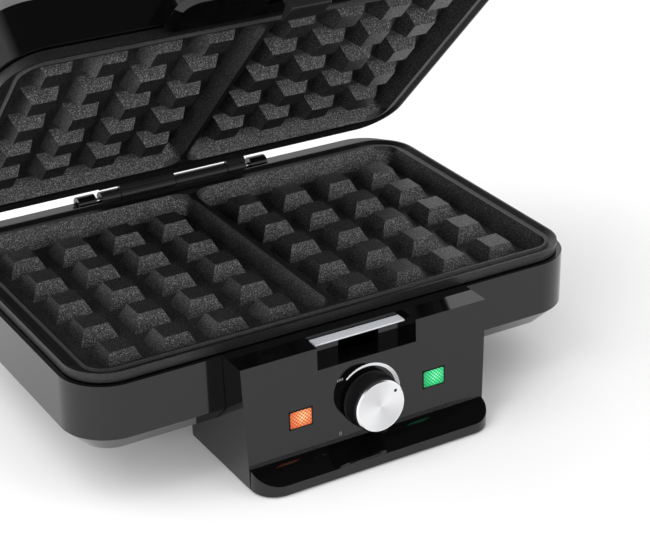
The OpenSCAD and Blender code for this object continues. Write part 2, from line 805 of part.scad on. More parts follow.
module thermostat_body() {
    color(STEEL) placed() on_panel(0, knob_drop) difference() {
        union() {
            translate([0, 0, thermostat_front - thermostat_t]) cylinder(r = thermostat_r,
                h = thermostat_t);
            translate([0, 0, thermostat_front - 0.01]) cylinder(r = shaft_r + 2, h = 2.4);
        }
        translate([0, 0, thermostat_front - thermostat_t / 2 - 0.5])
            cylinder(r = shaft_r + running_fit, h = thermostat_t);
    }
}

module thermostat_bracket() {
    front = -box_wall - seat_gap / 2;
    foot = bracket_w / 2;
    color(STEEL) placed() on_panel(0, knob_drop) difference() {
        union() {
            translate([-foot, -bracket_h / 2, thermostat_front]) cube([bracket_w, bracket_h, bracket_t]);
            for (side = [-1, 1]) translate([side * foot - 1, -bracket_h / 2, thermostat_front]) {
                cube([2, bracket_h, front - thermostat_front]);
                translate([side * 2 - 1, 0, front - thermostat_front - bracket_t])
                    cube([4, bracket_h, bracket_t]);
            }
        }
        translate([0, 0, thermostat_front - through]) cylinder(r = shaft_r + 2.1, h = 4);
    }
}

module terminal_block() {
    color("ivory") placed() translate([-cover_w / 4, cover_y1 - terminal_inset,
        base_underside + cover_t]) difference() {
            translate([-terminal_w / 2, -terminal_d / 2, 0]) cube([terminal_w, terminal_d, terminal_h]);
            for (x = [-terminal_w / 3, 0, terminal_w / 3]) translate([x, 0, terminal_h / 2])
                rotate([90, 0, 0]) cylinder(r = terminal_d / 7, h = 2 * terminal_d, center = true);
        }
}

// ---- cord entry ----

module cord_place() {
    translate([cord_x, rear_y, cord_z]) rotate([-90, 0, 0]) children();
}

module cord_bush() {
    color(BLACK) placed() cord_place() difference() {
        union() {
            cylinder(r1 = cord_body_r + cord_flange_w, r2 = cord_body_r + cord_nose_w,
                h = cord_flange_t);
            translate([0, 0, -wall - cord_tail]) cylinder(r = cord_body_r,
                h = wall + cord_tail + 0.01);
        }
        translate([0, 0, -20]) cylinder(r = cord_bore_r, h = 40);
    }
}

// ---- hinge ----

module hinge_base_leaf() {
    color(BLACK) placed() difference() {
        union() {
            for (run = base_knuckles) {
                round_bar(run[0], run[1], hinge_y, hinge_z, knuckle_r);
                block(run[0], run[1], hinge_y - leaf_t / 2, hinge_y + leaf_t / 2,
                    trough_z - wall - leaf_t, hinge_z - hinge_pin_r - 0.6);
            }
            block(-barrel_half, knuckle_long, hinge_y - 5, hinge_y + 5,
                trough_z - wall - leaf_t, trough_z - wall);
        }
        round_bar(-2 * barrel_half, 2 * barrel_half, hinge_y, hinge_z, hinge_pin_r + running_fit);
    }
}

module hinge_lid_leaf() {
    y0 = lid_rear_y - hinge_y;
    clear = knuckle_r + play;
    color(BLACK) lifted() difference() {
        union() {
            for (run = lid_knuckles) {
                round_bar(run[0], run[1], hinge_y, hinge_z, knuckle_r);
                along_x(run[0], run[1]) translate([hinge_y, hinge_z])
                    polygon([[y0, 1], [-hinge_pin_r - 1, -0.8], [-hinge_pin_r - 0.7, 3],
                        [y0 + leaf_t, clear + 1], [y0, clear + 1]]);
            }
            block(-barrel_half, barrel_half, lid_rear_y, lid_rear_y + leaf_t,
                hinge_z + clear - 0.9, hinge_z + lid_leaf_h);
        }
        round_bar(-2 * barrel_half, 2 * barrel_half, hinge_y, hinge_z, hinge_pin_r + running_fit);
        leaf_screw_places() cylinder(r = screw_hole_r, h = 20, center = true);
    }
}

// Places of the lid leaf's screws: local +Z points forwards into the lid.
module leaf_screw_places() {
    for (x = [-barrel_half + leaf_screw_inset, 0, barrel_half - leaf_screw_inset])
        translate([x, lid_rear_y + leaf_t, hinge_z + lid_leaf_h - leaf_screw_drop])
            rotate([90, 0, 0]) children();
}

module hinge_screws() {
    color(STEEL) lifted() leaf_screw_places() screw(leaf_t + wall + leaf_screw_grip);
}

module hinge_pin() {
    color(STEEL) placed() round_bar(-pin_half, pin_half, hinge_y, hinge_z, hinge_pin_r);
}

module hinge_end_blocks() {
    color(BLACK) placed() for (side = [0, 1]) mirror([side, 0, 0]) difference() {
        union() {
            block(block_x, block_x + block_w, hinge_y - knuckle_r, hinge_y + knuckle_r, trough_z, hinge_z);
            round_bar(block_x, block_x + block_w, hinge_y, hinge_z, knuckle_r);
        }
        round_bar(0, 2 * block_x, hinge_y, hinge_z, hinge_pin_r + 0.01);
    }
}

// ---- lid, modelled closed ----

module lid_form(inset, z0, z1) {
    bevel = edge_bevel - inset * tan(22.5);
    stepped(-half_x + inset, half_x - inset, front_y + inset, lid_rear_y - inset,
        housing_corner - inset, [[0, z0], [0, z1 - bevel], [bevel, z1]]);
}

module handle_screw_places() {
    for (x = [-handle_half + handle_screw_inset, handle_half - handle_screw_inset])
        translate([x, front_y + wall, lid_edge_z + wall + handle_screw_rise])
            rotate([90, 0, 0]) children();
}

module lid_housing() {
    color(BLACK) lifted() difference() {
        lid_form(0, lid_edge_z, lid_top);
        lid_form(wall, lid_edge_z + wall, lid_top - wall);
        pan_opening(lid_edge_z - through, lid_edge_z + wall + through);
        leaf_screw_places() cylinder(r = screw_hole_r, h = 20, center = true);
        handle_screw_places() cylinder(r = screw_hole_r, h = 3 * wall, center = true);
    }
}

module lid_handle() {
    z0 = lid_rim_z + handle_seat;
    z1 = z0 + handle_thick;
    y0 = front_y - handle_reach;
    back = front_y + 2 * handle_corner;
    color(BLACK) lifted() difference() {
        stepped(-handle_half, handle_half, y0, back, handle_corner,
            [[handle_chamfer_low, z0], [0, z0 + handle_chamfer_low],
                [0, z1 - handle_chamfer_top], [handle_chamfer_top, z1]]);
        block(-half_x, half_x, front_y, front_y + 10 * handle_corner, 0, lid_top);
        // pocket for the latch, open below and in front
        block(-pocket_half, pocket_half, y0 - through, panel_y + recess_back,
            0, pivot_z + eye_r + pocket_clear);
        round_bar(-pocket_half - pin_seat, pocket_half + pin_seat, pivot_y, pivot_z, latch_pin_r);
        handle_screw_places() cylinder(r = screw_hole_r, h = handle_screw_l + handle_screw_spare);
    }
}

module handle_screws() {
    color(STEEL) lifted() handle_screw_places() screw(handle_screw_l);
}

// ---- latch, modelled locked on the closed lid, then swung clear of its keeper ----

module latch_lever() {
    y0 = panel_y - arm_back - arm_t;
    y1 = panel_y - arm_back;
    tip = recess_y + hook_bite;
    color(BLACK) lifted() translate([0, pivot_y, pivot_z]) rotate([-latch_swing, 0, 0])
        translate([0, -pivot_y, -pivot_z]) difference() {
            union() {
                round_bar(-lever_half, lever_half, pivot_y, pivot_z, eye_r);
                along_x(-lever_half, lever_half) polygon([
                    [y0, pivot_z], [y0, hook_top - hook_h - 2], [y1 - 0.6, hook_top - hook_h - 2],
                    [tip, hook_top - 1], [tip, hook_top], [y1, hook_top], [y1, pivot_z]]);
                // finger tab
                along_x(-lever_half, lever_half) polygon([
                    [y0 + merge, pivot_z - tab_top], [y0 - tab_reach, pivot_z - tab_top - tab_fall],
                    [y0 - tab_reach, pivot_z - tab_top - tab_fall - tab_t],
                    [y0 + merge, pivot_z - tab_root]]);
            }
            round_bar(-half_x, half_x, pivot_y, pivot_z, latch_pin_r + running_fit);
        }
}

module latch_pin() {
    color(STEEL) lifted()
        round_bar(-pocket_half - pin_seat + pin_end_gap, pocket_half + pin_seat - pin_end_gap,
            pivot_y, pivot_z, latch_pin_r);
}

base_housing();
base_cover();
cover_screws();
rear_legs();
rear_pads();
front_pads();
control_box();
pedestal_cover();
pedestal_screws();
latch_keeper();
dial_ring();
control_knob();
knob_cap();
thermostat_shaft();
thermostat_body();
thermostat_bracket();
power_lens();
ready_lens();
lamp_holders();
lower_plate();
lower_element();
lower_reflector();
lower_plate_screws();
terminal_block();
thermal_cutout();
cord_bush();
hinge_base_leaf();
hinge_pin();
hinge_end_blocks();
lid_housing();
lid_handle();
handle_screws();
upper_plate();
upper_element();
upper_reflector();
upper_plate_screws();
hinge_lid_leaf();
hinge_screws();
latch_lever();
latch_pin();
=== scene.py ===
"""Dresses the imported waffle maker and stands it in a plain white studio.

Sizes are in millimetres until they reach a mesh, where nothing else is said. The places of
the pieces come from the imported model's own boxes and joints.
"""

import json
import logging
import math
from abc import ABC, abstractmethod
from collections.abc import Sequence
from dataclasses import dataclass, field
from enum import Enum

import bmesh
import bpy
from mathutils import Matrix, Vector


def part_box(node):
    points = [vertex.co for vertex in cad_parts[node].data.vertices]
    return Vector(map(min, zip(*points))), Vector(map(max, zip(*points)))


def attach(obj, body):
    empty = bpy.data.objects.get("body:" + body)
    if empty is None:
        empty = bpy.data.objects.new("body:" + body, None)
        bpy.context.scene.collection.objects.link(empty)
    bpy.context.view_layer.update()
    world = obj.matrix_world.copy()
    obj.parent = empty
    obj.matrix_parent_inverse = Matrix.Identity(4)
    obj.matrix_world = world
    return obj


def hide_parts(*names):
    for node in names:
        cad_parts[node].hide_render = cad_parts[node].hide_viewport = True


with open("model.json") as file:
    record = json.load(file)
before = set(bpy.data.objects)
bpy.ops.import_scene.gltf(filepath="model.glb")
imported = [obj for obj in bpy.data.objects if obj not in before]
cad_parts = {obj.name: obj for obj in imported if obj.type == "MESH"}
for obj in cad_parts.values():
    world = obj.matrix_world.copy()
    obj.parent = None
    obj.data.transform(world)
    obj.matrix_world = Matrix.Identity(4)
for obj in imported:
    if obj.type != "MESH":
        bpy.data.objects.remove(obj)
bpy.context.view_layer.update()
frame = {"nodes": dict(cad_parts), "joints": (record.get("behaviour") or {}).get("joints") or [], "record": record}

MM = 0.001
LOG = logging.getLogger("waffle_maker")

Span = tuple[float, float]
Point = tuple[float, float]
Triple = tuple[float, float, float]
Socket = bpy.types.NodeSocket
Material = bpy.types.Material
Shape = bmesh.types.BMesh
Loop = list[bmesh.types.BMEdge]

# The span that a noise pattern's value mostly keeps to.
NOISE_SPAN: Span = (0.3, 0.7)
# Corners of a turned shape that are closer than this are one.
WELD = 0.001
# How far the middle of each lens stands to the side of the knob's axis.
LENS_X = 33.2


class Body(Enum):
    """The moving bodies of the appliance, by their names in the frame."""

    BASE = "base"
    LID = "lid"
    LATCH = "latch"
    KNOB = "knob"


class Lamp(Enum):
    """The two indicator lamps, by their lens nodes, with the colours they glow in."""

    POWER = ("power_lens", (0.4, 0.03, 0.008), (0.8, 0.24, 0.06), (1.0, 0.8, 0.42))
    READY = ("ready_lens", (0.0, 0.16, 0.04), (0.01, 0.7, 0.22), (0.35, 1.0, 0.6))

    def __init__(self, node: str, deep: Triple, middle: Triple, bright: Triple) -> None:
        """Keeps the lens's node and its colours, from the weakest glow to the strongest."""
        self.node = node
        self.deep = deep
        self.middle = middle
        self.bright = bright


# ---- node trees ----


class Nodes:
    """A node tree, with short calls for the few nodes used here."""

    def __init__(self, tree: bpy.types.NodeTree) -> None:
        """Keeps the tree that the nodes go into."""
        self.tree = tree

    def node(self, kind: str, **settings: object) -> bpy.types.Node:
        """Adds a node and sets its properties.

        Args:
            kind: The node's type name without the ShaderNode prefix.
            settings: Properties of the node.

        Returns:
            The new node.
        """
        made = self.tree.nodes.new("ShaderNode" + kind)
        for key, value in settings.items():
            setattr(made, key, value)
        return made

    def feed(self, slot: Socket, value: object) -> None:
        """Links an output to an input, or sets the input to a plain value."""
        if isinstance(value, Socket):
            self.tree.links.new(value, slot)
        else:
            slot.default_value = value

    def wired(self, kind: str, output: str, inputs: dict[str | int, object],
              **settings: object) -> Socket:
        """Adds a node and feeds it.

        Args:
            kind: The node's type name without the ShaderNode prefix.
            output: The output that is wanted.
            inputs: What each input, by its name or number, is fed: an output or a plain value.
            settings: Properties of the node.

        Returns:
            The output.
        """
        made = self.node(kind, **settings)
        for key, value in inputs.items():
            self.feed(made.inputs[key], value)
        return made.outputs[output]

    def maths(self, operation: str, *terms: object) -> Socket:
        """Works a value out by a math operation on outputs and plain numbers."""
        return self.wired("Math", "Value", dict(enumerate(terms)), operation=operation)

    def blend(self, value: Socket, span: Span, onto: Span) -> Socket:
        """Maps a value from one span onto another, and keeps it between that one's ends."""
        return self.wired("MapRange", "Result", {
            "Value": value, "From Min": span[0], "From Max": span[1],
            "To Min": onto[0], "To Max": onto[1]})

    def mix(self, share: Socket, none: object, full: object) -> Socket:
        """Goes from one value, at a share of 0, to another, at a share of 1."""
        return self.wired("Mix", "Result", {"Factor": share, "A": none, "B": full},
                          data_type="FLOAT")

    def split(self, vector: Socket) -> tuple[Socket, Socket, Socket]:
        """The outputs of a vector's x, y and z."""
        made = self.node("SeparateXYZ")
        self.feed(made.inputs[0], vector)
        return made.outputs["X"], made.outputs["Y"], made.outputs["Z"]

    def join(self, **axes: Socket) -> Socket:
        """A vector of the axes given, X, Y or Z; the others are nought."""
        return self.wired("CombineXYZ", "Vector", axes)

    def length(self, vector: Socket) -> Socket:
        """The output of a vector's length."""
        return self.wired("VectorMath", "Value", {0: vector}, operation="LENGTH")


class Sheet(Nodes):
    """A material's nodes: patterns in object space, and what they do to the shader."""

    def __init__(self, name: str) -> None:
        """Starts a material of a name, with a Principled shader."""
        self.material = bpy.data.materials.new(name)
        self.material.use_nodes = True
        super().__init__(self.material.node_tree)
        self.shader = self.tree.nodes["Principled BSDF"]

    def place(self, centre: Sequence[float] = (0, 0, 0), stretch: Triple = (1, 1, 1)) -> Socket:
        """Object coordinates about a point, stretched.

        Args:
            centre: The point that becomes the pattern's origin, in metres.
            stretch: Stretch of the pattern on each axis.

        Returns:
            The coordinate output.
        """
        coords = self.node("TexCoord").outputs["Object"]
        shifted = self.wired("VectorMath", "Vector", {0: coords, 1: centre},
                             operation="SUBTRACT")
        return self.wired("Mapping", "Vector", {"Vector": shifted, "Scale": stretch})

    def noise(self, where: Socket, scale: float, detail: float = 2,
              roughness: float = 0.5) -> Socket:
        """A noise pattern's value; its scale is per metre and its detail is in octaves."""
        return self.wired("TexNoise", "Fac", {
            "Vector": where, "Scale": scale, "Detail": detail, "Roughness": roughness})

    def ramp(self, value: Socket, stops: list[tuple[float, Triple]]) -> Socket:
        """Colours a value.

        Args:
            value: The value.
            stops: The colours along it, as (position, colour) in rising order.

        Returns:
            The colour output.
        """
        made = self.node("ValToRGB")
        points = made.color_ramp.elements
        while len(points) < len(stops):
            points.new(0.5)
        for point, (position, colour) in zip(points, stops):
            point.position = position
            point.color = (*colour, 1)
        self.feed(made.inputs["Fac"], value)
        return made.outputs["Color"]

    def bump(self, height: Socket, depth: float, strength: float) -> None:
        """Raises the shader's surface by a pattern, to a depth in millimetres."""
        self.drive("Normal", self.wired("Bump", "Normal", {
            "Height": height, "Distance": depth * MM, "Strength": strength}))

    def drive(self, socket: str, value: Socket) -> None:
        """Lets an output set one of the shader's sockets."""
        self.feed(self.shader.inputs[socket], value)

    def set(self, **values: object) -> None:
        """Sets the shader's own sockets; an underscore in a name stands for a space."""
        for key, value in values.items():
            self.shader.inputs[key.replace("_", " ")].default_value = value


# ---- finishes ----


class Finish(ABC):
    """A surface finish that makes its own material."""

    name: str

    def material(self) -> Material:
        """Makes the finish's material."""
        sheet = Sheet(self.name)
        self.paint(sheet)
        return sheet.material

    @abstractmethod
    def paint(self, sheet: Sheet) -> None:
        """Lays out the finish's nodes on its sheet."""


@dataclass(frozen=True)
class GlossPlastic(Finish):
    """Polished black moulding: mirror gloss, barely rippled, with a trace of handling."""

    name: str = "gloss_black"
    colour: Triple = (0.0016, 0.0016, 0.0019)
    ior: float = 1.5
    roughness: Span = (0.045, 0.075)
    handled: float = 22
    handled_span: Span = (0.35, 0.7)
    ripple: float = 40
    ripple_depth: float = 0.02
    ripple_strength: float = 0.3

    def paint(self, sheet: Sheet) -> None:
        """Lays out the gloss, its handled patches and its ripples."""
        where = sheet.place()
        sheet.set(Base_Color=(*self.colour, 1), IOR=self.ior)
        patches = sheet.noise(where, self.handled, detail=3)
        sheet.drive("Roughness", sheet.blend(patches, self.handled_span, self.roughness))
        ripples = sheet.noise(where, self.ripple, detail=1)
        sheet.bump(ripples, self.ripple_depth, self.ripple_strength)


@dataclass(frozen=True)
class SatinPlastic(Finish):
    """Fine-grained moulding: the knob's grip, legs, covers and small fittings."""

    name: str = "satin_black"
    colour: Triple = (0.008, 0.008, 0.009)
    roughness: float = 0.34
    grain: float = 900
    ior: float = 1.48
    patch: float = 30
    uneven: Span = (-0.05, 0.06)
    grain_depth: float = 0.03
    grain_strength: float = 0.5

    def paint(self, sheet: Sheet) -> None:
        """Lays out the colour, its uneven sheen and its grain."""
        where = sheet.place()
        sheet.set(Base_Color=(*self.colour, 1), IOR=self.ior)
        patches = sheet.noise(where, self.patch, detail=3)
        smooth, rough = (self.roughness + change for change in self.uneven)
        sheet.drive("Roughness", sheet.blend(patches, NOISE_SPAN, (smooth, rough)))
        sheet.bump(sheet.noise(where, self.grain), self.grain_depth, self.grain_strength)


@dataclass(frozen=True)
class NonstickCoating(Finish):
    """Dark sprayed coating on cast metal: a coarse sparkling grain over a soft sheen."""

    name: str = "nonstick"
    dark: Triple = (0.0012, 0.0012, 0.0014)
    speck: Triple = (0.32, 0.32, 0.33)
    grain: float = 1900
    fine_share: float = 0.65
    ior: float = 1.5
    speck_span: Span = (0.48, 0.72)
    metal_span: Span = (0.46, 0.62)
    sheen_span: Span = (0.4, 0.65)
    roughness: Span = (0.42, 0.3)
    grain_depth: float = 0.15
    grain_strength: float = 0.6

    def paint(self, sheet: Sheet) -> None:
        """Lays out the grain, which is paler, brighter and smoother at its peaks."""
        where = sheet.place()
        grain = sheet.noise(where, self.grain, 3, self.fine_share)
        low, high = self.speck_span
        sheet.set(IOR=self.ior)
        sheet.drive("Base Color", sheet.ramp(grain, [(low, self.dark), (high, self.speck)]))
        sheet.drive("Metallic", sheet.blend(grain, self.metal_span, (0, 1)))
        sheet.drive("Roughness", sheet.blend(grain, self.sheen_span, self.roughness))
        sheet.bump(grain, self.grain_depth, self.grain_strength)


@dataclass(frozen=True)
class Metal(Finish):
    """Bare metal with fine scratches: plated sheet, turned pins or bright chrome."""

    name: str
    colour: Triple
    roughness: float
    scratch: float = 0.5
    metallic: float = 1.0
    lines: float = 260
    line_stretch: Triple = (1, 14, 14)
    line_depth: float = 0.01
    uneven: Span = (0.75, 1.3)

    def paint(self, sheet: Sheet) -> None:
        """Lays out the colour and the scratches, which run along X."""
        where = sheet.place(stretch=self.line_stretch)
        sheet.set(Base_Color=(*self.colour, 1), Metallic=self.metallic)
        lines = sheet.noise(where, self.lines, detail=3)
        smooth, rough = (self.roughness * change for change in self.uneven)
        sheet.drive("Roughness", sheet.blend(lines, NOISE_SPAN, (smooth, rough)))
        sheet.bump(lines, self.line_depth, self.scratch)


@dataclass(frozen=True)
class SpunMetal(Finish):
    """Silver face turned on a lathe: fine rings, and a soft two-lobed sheen painted into its colour."""

    name: str
    centre: Triple
    # The silver and its darker painted shading, which the painted sheen swings between.
    colour: Triple = (0.86, 0.86, 0.87)
    shade: Triple = (0.66, 0.66, 0.68)
    sheen_turn: float = -60
    metallic: float = 0.7
    roughness: float = 0.38
    rings: float = 2600
    ring_depth: float = 0.012
    ring_strength: float = 0.6

    def paint(self, sheet: Sheet) -> None:
        """Lays out the painted sheen round the centre, in metres, and the lathe's rings."""
        x, _, z = sheet.split(sheet.place(self.centre))
        # Painted reflection: the colour swings between the two with twice the angle round the centre.
        angle = sheet.maths("ARCTAN2", z, x)
        twice = sheet.maths("MULTIPLY_ADD", angle, 2.0, math.radians(self.sheen_turn))
        sheen = sheet.blend(sheet.maths("COSINE", twice), (-1, 1), (0, 1))
        sheet.drive("Base Color", sheet.ramp(sheen, [(0.0, self.shade), (1.0, self.colour)]))
        outward = sheet.join(X=sheet.length(sheet.join(X=x, Z=z)))
        sheet.set(Metallic=self.metallic, Roughness=self.roughness)
        sheet.bump(sheet.noise(outward, self.rings), self.ring_depth, self.ring_strength)


@dataclass(frozen=True)
class LitLens(Finish):
    """Tinted plastic lit from behind, brightest in the middle and cut into small squares."""

    lamp: Lamp
    centre: Triple
    cell: float = 0.85
    facet_light: Span = (-0.25, 1.2)
    reach: float = 7.2
    edge_glow: float = 0.12
    cloud: float = 500
    cloud_light: float = 0.5
    middle_at: float = 0.55
    unlit: float = 0.3
    roughness: float = 0.12
    ior: float = 1.49
    glow: float = 1.0

    @property
    def name(self) -> str:
        """The material's name, which is the lens's node."""
        return self.lamp.node

    def paint(self, sheet: Sheet) -> None:
        """Lays out the glow about the centre, in metres, broken up by facets and clouds."""
        where = sheet.place(self.centre)
        fading = sheet.blend(sheet.length(where), (0, self.reach * MM), (1, self.edge_glow))
        x, _, z = sheet.split(where)
        waves = math.pi / (self.cell * MM)
        across, up = (sheet.maths("SINE", sheet.maths("MULTIPLY", axis, waves))
                      for axis in (x, z))
        facets = sheet.blend(sheet.maths("MULTIPLY", across, up), (-1, 1), self.facet_light)
        clouds = sheet.noise(where, self.cloud, detail=1)
        uneven = sheet.maths("MULTIPLY_ADD", clouds, self.cloud_light, facets)
        stops = [(0.0, self.lamp.deep), (self.middle_at, self.lamp.middle),
                 (1.0, self.lamp.bright)]
        light = sheet.maths("MULTIPLY", fading, uneven)
        sheet.drive("Emission Color", sheet.ramp(light, stops))
        plastic = tuple(part * self.unlit for part in self.lamp.deep)
        sheet.set(Base_Color=(*plastic, 1), Roughness=self.roughness, IOR=self.ior,
                  Emission_Strength=self.glow)


@dataclass(frozen=True)
class Rubber(Finish):
    """Dull black rubber with a moulded grain."""

    name: str = "foot_rubber"
    colour: Triple = (0.013, 0.013, 0.013)
    ior: float = 1.45
    roughness: Span = (0.7, 0.85)
    grain: float = 1400
    grain_depth: float = 0.05
    grain_strength: float = 0.5

    def paint(self, sheet: Sheet) -> None:
        """Lays out the colour and the grain."""
        sheet.set(Base_Color=(*self.colour, 1), IOR=self.ior)
        grain = sheet.noise(sheet.place(), self.grain)
        sheet.drive("Roughness", sheet.blend(grain, NOISE_SPAN, self.roughness))
        sheet.bump(grain, self.grain_depth, self.grain_strength)


@dataclass(frozen=True)
class Print(Finish):
    """Printing ink, white or grey, on the dial and the panel."""

    name: str = "white_print"
    colour: Triple = (0.78, 0.79, 0.81)
    ior: float = 1.45
    roughness: Span = (0.4, 0.55)
    mottle: float = 500

    def paint(self, sheet: Sheet) -> None:
        """Lays out the colour and its faint mottle."""
        mottle = sheet.noise(sheet.place(), self.mottle)
        sheet.drive("Roughness", sheet.blend(mottle, NOISE_SPAN, self.roughness))
        sheet.set(Base_Color=(*self.colour, 1), IOR=self.ior)


def made_once(finish: Finish) -> Material:
    """A palette's field for a finish: its material is made when the palette is."""
    return field(default_factory=finish.material)


@dataclass
class Palette:
    """One material for each finish of the appliance.

    Where the record has a slot for a finish, its field bears the slot's name.
    """

    gloss_black: Material = made_once(GlossPlastic())
    satin_black: Material = made_once(SatinPlastic())
    matte_black: Material = made_once(SatinPlastic(
        "matte_black", (0.004, 0.004, 0.0045), roughness=0.42, grain=1100, ior=1.3))
    nonstick: Material = made_once(NonstickCoating())
    rim_coat: Material = made_once(NonstickCoating(
        "nonstick_rim", speck=(0.11, 0.11, 0.114), grain=2300))
    foot_rubber: Material = made_once(Rubber())
    ink: Material = made_once(Print())
    dim_ink: Material = made_once(Print("grey_print", (0.3, 0.3, 0.31)))
    black_steel: Material = made_once(SatinPlastic(
        "black_steel", (0.014, 0.014, 0.015), roughness=0.3, grain=1500))
    ivory_plastic: Material = made_once(SatinPlastic(
        "ivory_plastic", (0.72, 0.68, 0.56), roughness=0.5, grain=500))
    plain_steel: Material = made_once(Metal("plain_steel", (0.55, 0.56, 0.57), 0.32))
    bright_steel: Material = made_once(Metal("bright_steel", (0.75, 0.75, 0.76), 0.18))
    bright_chrome: Material = made_once(Metal(
        "bright_chrome", (0.74, 0.76, 0.8), 0.36, scratch=0.1, metallic=0.45))
    polished_rim: Material = made_once(Metal(
        "polished_rim", (0.93, 0.93, 0.94), 0.16, scratch=0.1))

    def of_slot(self, slot: str) -> Material:
        """The material of a slot in the record, or plain steel where there is none."""
        return getattr(self, slot, self.plain_steel)


# ---- shared mesh work ----


def record_slot(node: str) -> str:
    """The material slot that the record gives a node."""
    return next(part["material_slot"] for part in frame["record"]["subparts"]
                if part["node"] == node)


def joint_named(name: str) -> dict[str, object]:
    """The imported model's joint of a name."""
    return next(joint for joint in frame["joints"] if joint["name"] == name)


def in_scene(name: str, data: bpy.types.ID) -> bpy.types.Object:
    """Makes an object of a mesh, a lamp or a camera, and puts it in the scene."""
    made = bpy.data.objects.new(name, data)
    bpy.context.scene.collection.objects.link(made)
    return made


def smooth_by_angle(mesh: bpy.types.Mesh, degrees: float) -> None:
    """Shades a mesh smooth, but sharp where its faces meet at more than an angle."""
    mesh.shade_smooth()
    mesh.set_sharp_from_angle(angle=math.radians(degrees))


def add_piece(name: str, shape: Shape, body: Body, material: Material,
              sharp: float = 32) -> bpy.types.Object:
    """Makes a finished piece of a shape, riding on a body.

    Args:
        name: The piece's name.
        shape: Its bmesh, in metres in the row frame; it is freed.
        body: The body it rides on.
        material: Its material.
        sharp: The angle past which an edge shades sharp, in degrees.

    Returns:
        The new object.
    """
    mesh = bpy.data.meshes.new(name)
    shape.to_mesh(mesh)
    shape.free()
    mesh.materials.append(material)
    smooth_by_angle(mesh, sharp)
    piece = in_scene(name, mesh)
    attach(piece, body.value)
    LOG.info("%s: %d faces on %s", name, len(mesh.polygons), body.value)
    return piece


def softened(node: str, width: float, body: Body, material: Material,
             segments: int = 2, angle: float = 28, weld: float = 0.004,
             flat: float = 0.6) -> bpy.types.Object:
    """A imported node's shape with its edges rounded over, standing for that node.

    Args:
        node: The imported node.
        width: How far the rounding reaches from each edge, in millimetres.
        body: The body it rides on.
        material: Its material.
        segments: Facets across the rounding.
        angle: Edges flatter than this stay as they are, in degrees.
        weld: Corners closer than this become one, in millimetres.
        flat: Faces flatter to each other than this become one, in degrees.

    Returns:
        The new piece.
    """
    shape = bmesh.new()
    shape.from_mesh(frame["nodes"][node].data)
    bmesh.ops.remove_doubles(shape, verts=shape.verts, dist=weld * MM)
    bmesh.ops.dissolve_limit(shape, angle_limit=math.radians(flat), verts=shape.verts,
                             edges=shape.edges, delimit={"NORMAL"})
    edges = [edge for edge in shape.edges if edge.is_manifold
             and edge.calc_face_angle(0) > math.radians(angle)]
    bmesh.ops.bevel(shape, geom=edges, offset=width * MM, segments=segments, profile=0.5,
                    affect="EDGES", clamp_overlap=True, material=-1)
    piece = add_piece(node + "_shell", shape, body, material, sharp=40)
    weight = piece.modifiers.new("even", "WEIGHTED_NORMAL")
    weight.keep_sharp = True
    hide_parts(node)
    return piece


def ellipse(half_w: float, half_h: float, steps: int) -> list[Point]:
    """Points round an ellipse about the origin, from the one on X towards Y."""
    turns = [math.tau * step / steps for step in range(steps)]
    return [(half_w * math.cos(turn), half_h * math.sin(turn)) for turn in turns]


def loop(shape: Shape, points: list[Point], z: float) -> Loop:
    """Adds a closed loop of edges at a height, through (x, y) points in millimetres."""
    verts = [shape.verts.new((x * MM, y * MM, z * MM)) for x, y in points]
    return [shape.edges.new(pair) for pair in zip(verts, verts[1:] + verts[:1])]


def fill(shape: Shape, edges: Loop) -> list[bmesh.types.BMFace]:
    """Closes a loop of edges with a flat face, and returns it in a list."""
    return bmesh.ops.edgeloop_fill(shape, edges=edges)["faces"]


def bridge(shape: Shape, loops: list[Loop], closed: bool = False) -> None:
    """Joins each loop of edges to the next, and where it is closed the last to the first."""
    for one, two in zip(loops, loops[1:] + loops[:1] if closed else loops[1:]):
        bmesh.ops.bridge_loops(shape, edges=one + two)


def spun(profile: list[Point], steps: int) -> Shape:
    """Turns a profile about Z into a closed shape.

    Args:
        profile: Points as (radius, height) in millimetres, from the axis or back to its start.
        steps: Facets round the turn.

    Returns:
        The shape, in metres.
    """
    shape = bmesh.new()
    verts = [shape.verts.new((radius * MM, 0, height * MM)) for radius, height in profile]
    edges = [shape.edges.new(pair) for pair in zip(verts, verts[1:])]
    bmesh.ops.spin(shape, geom=verts + edges, cent=(0, 0, 0), axis=(0, 0, 1),
                   angle=math.tau, steps=steps, use_merge=True)
    bmesh.ops.remove_doubles(shape, verts=shape.verts, dist=WELD * MM)
    bmesh.ops.recalc_face_normals(shape, faces=shape.faces)
    return shape


def raise_outline(shape: Shape, outline: list[Point], low: float, high: float) -> None:
    """Adds a flat outline's prism to a shape.

    Args:
        shape: The shape it is added to, in metres.
        outline: The outline's corners as (x, y) in millimetres.
        low: The height of its underside.
        high: The height of its top.
    """
    grown = bmesh.ops.extrude_face_region(
        shape, geom=fill(shape, loop(shape, outline, low)))["geom"]
    bmesh.ops.translate(shape, vec=(0, 0, (high - low) * MM),
                        verts=[part for part in grown if isinstance(part, bmesh.types.BMVert)])
    bmesh.ops.recalc_face_normals(shape, faces=shape.faces)


# ---- the control panel ----


@dataclass
class Panel:
    """The leaning front panel, as a frame: X right, Y up the panel and Z out of it.

    Its origin is the knob's axis on the panel's face, in metres.
    """

    origin: Vector
    outward: Vector

    @classmethod
    def from_joint(cls, name: str) -> "Panel":
        """Reads the panel's frame from the joint of the knob that turns on it."""
        joint = joint_named(name)
        return cls(Vector(joint["pos_m"]), Vector(joint["axis"]).normalized())

    def matrix(self, x: float = 0, y: float = 0, z: float = 0) -> Matrix:
        """The move from the panel's frame to the row frame.

        Args:
            x: How far to the right of the knob's axis it starts, in millimetres.
            y: How far up the panel.
            z: How far out of it.

        Returns:
            The move.
        """
        right = Vector((1, 0, 0))
        turn = Matrix((right, self.outward.cross(right), self.outward)).transposed().to_4x4()
        return Matrix.Translation(self.origin) @ turn @ Matrix.Translation(
            Vector((x, y, z)) * MM)


